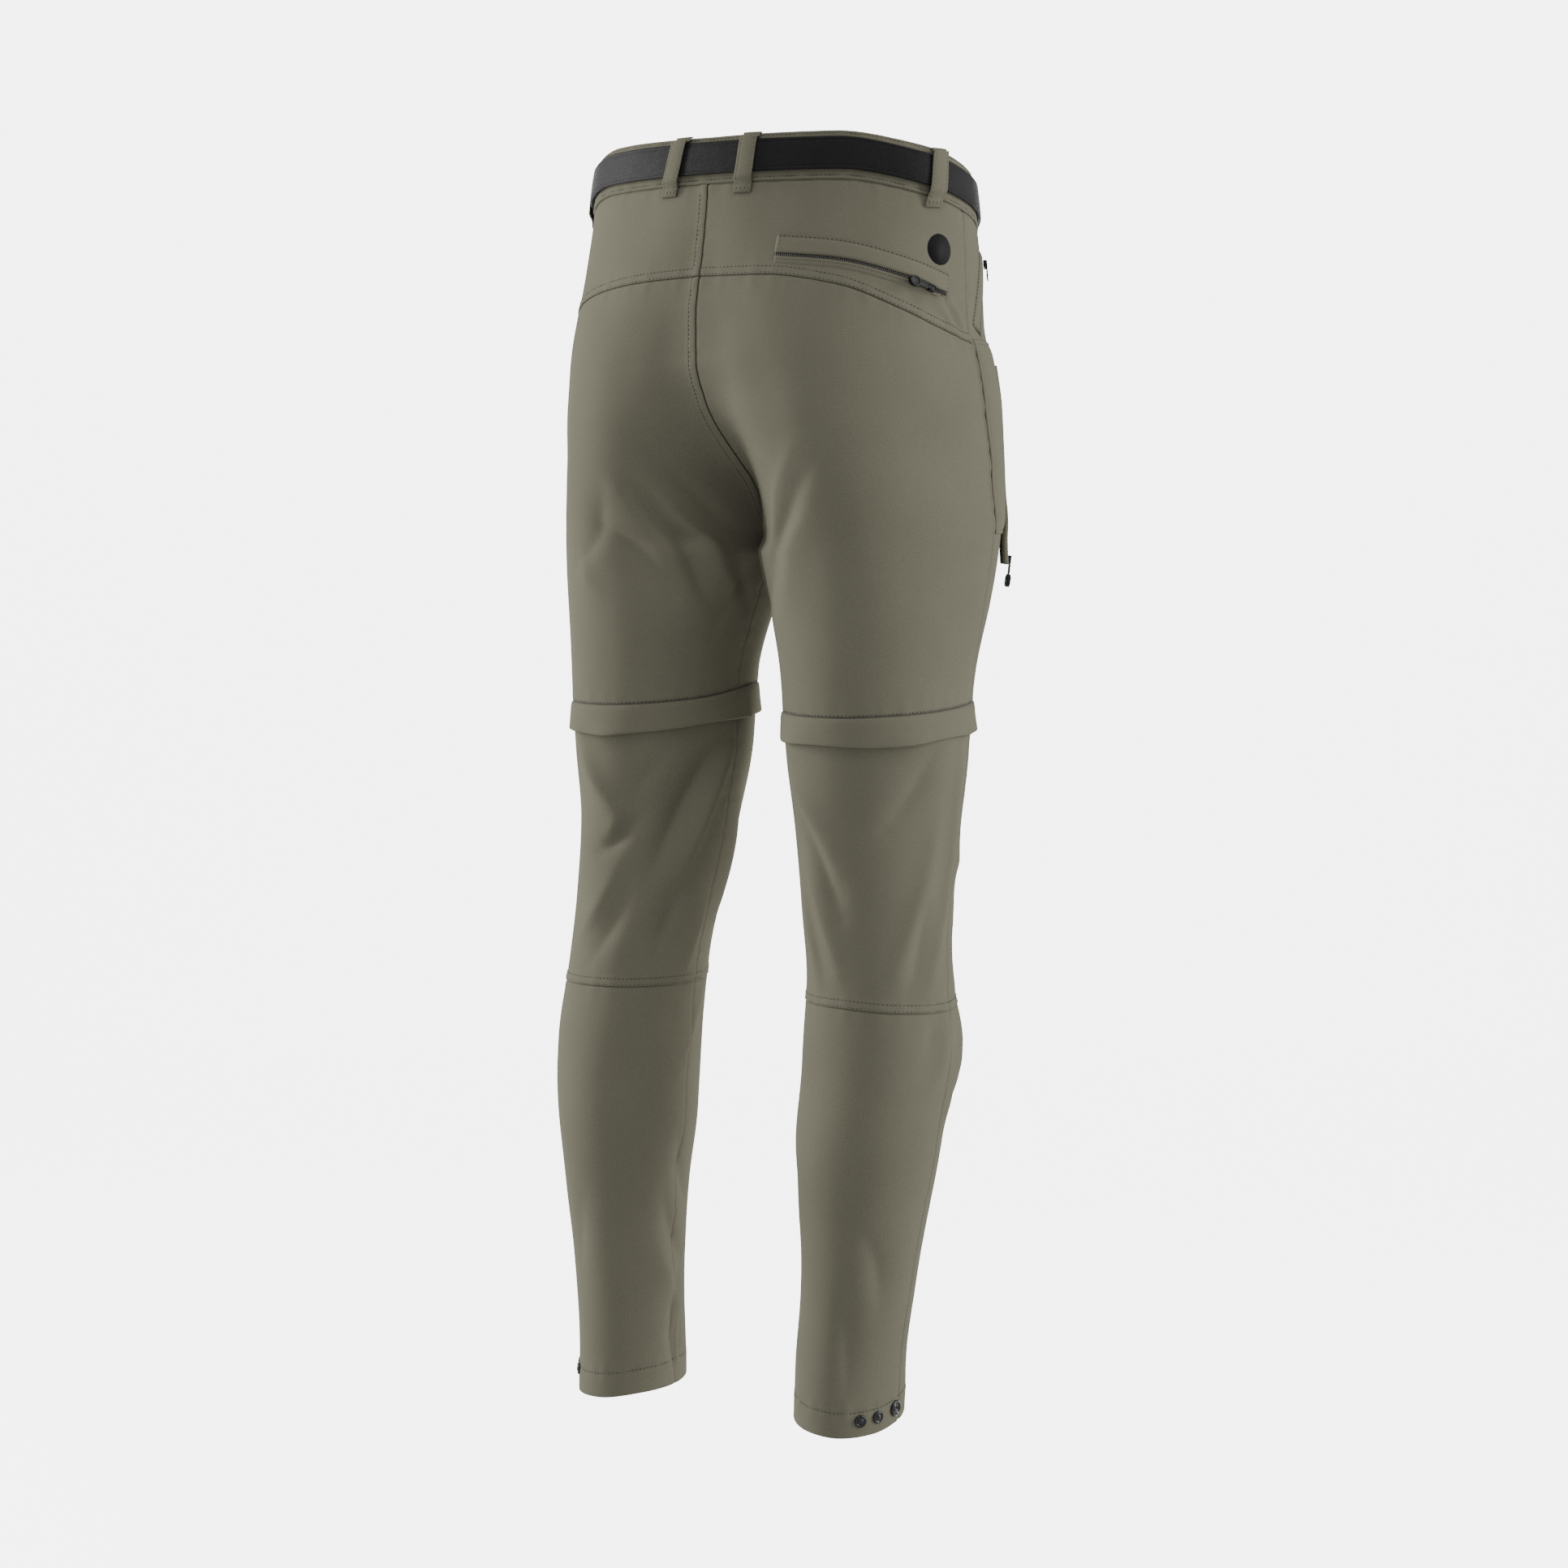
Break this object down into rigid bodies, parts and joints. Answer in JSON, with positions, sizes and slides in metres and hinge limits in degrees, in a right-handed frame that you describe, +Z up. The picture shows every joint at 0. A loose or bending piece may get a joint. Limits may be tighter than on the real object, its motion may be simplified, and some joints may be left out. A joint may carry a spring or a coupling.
{
  "type": "convertible zip-off trousers",
  "caption": "Convertible zip-off hiking trousers in their worn shape: woven cloth with flaps over the knee zips, zipped pockets, hem snaps and a leather belt.",
  "frame": {"origin": "middle of the waist opening, level with the waistband's lower seam at centre back, where the wearer holds the trousers up", "axes": "+Z up along the worn legs, -Y out of the front, +X to the wearer's left"},
  "size_m": [0.37, 0.2597, 1.0149],
  "materials": {
    "cloth": "matt stretch woven nylon, olive grey",
    "zip_tape": "woven polyester zip tape",
    "belt_leather": "black fine-grain leather with a soft sheen",
    "buckle_metal": "brushed nickel-plated steel",
    "dark_plastic": "black moulded plastic and lacquered snap caps"
  },
  "bodies": {
    "trousers": {"back_calf_lower_left": "cloth", "back_calf_lower_right": "cloth", "back_calf_upper_left": "cloth", "back_calf_upper_right": "cloth", "back_pocket_slider": "dark_plastic", "back_pocket_welt": "cloth", "back_pocket_zip": "zip_tape", "back_thigh_left": "cloth", "back_thigh_right": "cloth", "back_yoke_left": "cloth", "back_yoke_right": "cloth", "badge": "dark_plastic", "belt": "belt_leather", "belt_buckle": "buckle_metal", "belt_loop_back_left": "cloth", "belt_loop_back_right": "cloth", "belt_loop_front_left": "cloth", "belt_loop_front_right": "cloth", "belt_loop_hip_left": "cloth", "belt_loop_hip_right": "cloth", "belt_prong": "buckle_metal", "fly": "cloth", "front_thigh_left": "cloth", "front_thigh_right": "cloth", "hand_pocket_left_slider": "dark_plastic", "hand_pocket_right_slider": "dark_plastic", "hand_pocket_welt_left": "cloth", "hand_pocket_welt_right": "cloth", "hand_pocket_zip_left": "zip_tape", "hand_pocket_zip_right": "zip_tape", "hem_snap_left_1": "dark_plastic", "hem_snap_left_2": "dark_plastic", "hem_snap_left_3": "dark_plastic", "hem_snap_right_1": "dark_plastic", "hem_snap_right_2": "dark_plastic", "hem_snap_right_3": "dark_plastic", "knee_flap_left": "cloth", "knee_flap_right": "cloth", "knee_front_left": "cloth", "knee_front_right": "cloth", "knee_zip_left": "zip_tape", "knee_zip_right": "zip_tape", "shin_front_left": "cloth", "shin_front_right": "cloth", "thigh_pocket": "cloth", "thigh_pocket_slider": "dark_plastic", "thigh_zip": "zip_tape", "waistband": "cloth"},
    "back_pocket_pull": {"back_pocket_pull": "dark_plastic"},
    "hand_pocket_left_pull": {"hand_pocket_left_pull": "dark_plastic"},
    "hand_pocket_right_pull": {"hand_pocket_right_pull": "dark_plastic"},
    "thigh_pocket_pull": {"thigh_pocket_pull": "dark_plastic"}
  },
  "joints": [
    {"name": "back_pocket_pull_swing", "type": "hinge", "parent": "trousers", "child": "back_pocket_pull", "pos_m": [-0.16658, 0.0527, -0.07729], "axis": [-0.0121, -0.2906, 0.9568], "range_deg": [0, 90]},
    {"name": "hand_pocket_left_pull_swing", "type": "hinge", "parent": "trousers", "child": "hand_pocket_left_pull", "pos_m": [0.16208, -0.04317, -0.0526], "axis": [-0.4117, -0.8477, -0.3346], "range_deg": [0, 90]},
    {"name": "hand_pocket_right_pull_swing", "type": "hinge", "parent": "trousers", "child": "hand_pocket_right_pull", "pos_m": [-0.16208, -0.04317, -0.0526], "axis": [-0.4117, 0.8477, 0.3346], "range_deg": [0, 90]},
    {"name": "thigh_pocket_pull_swing", "type": "hinge", "parent": "trousers", "child": "thigh_pocket_pull", "pos_m": [-0.17236, -0.06719, -0.28579], "axis": [-0.6275, 0.7544, 0.1928], "range_deg": [0, 90]}
  ]
}
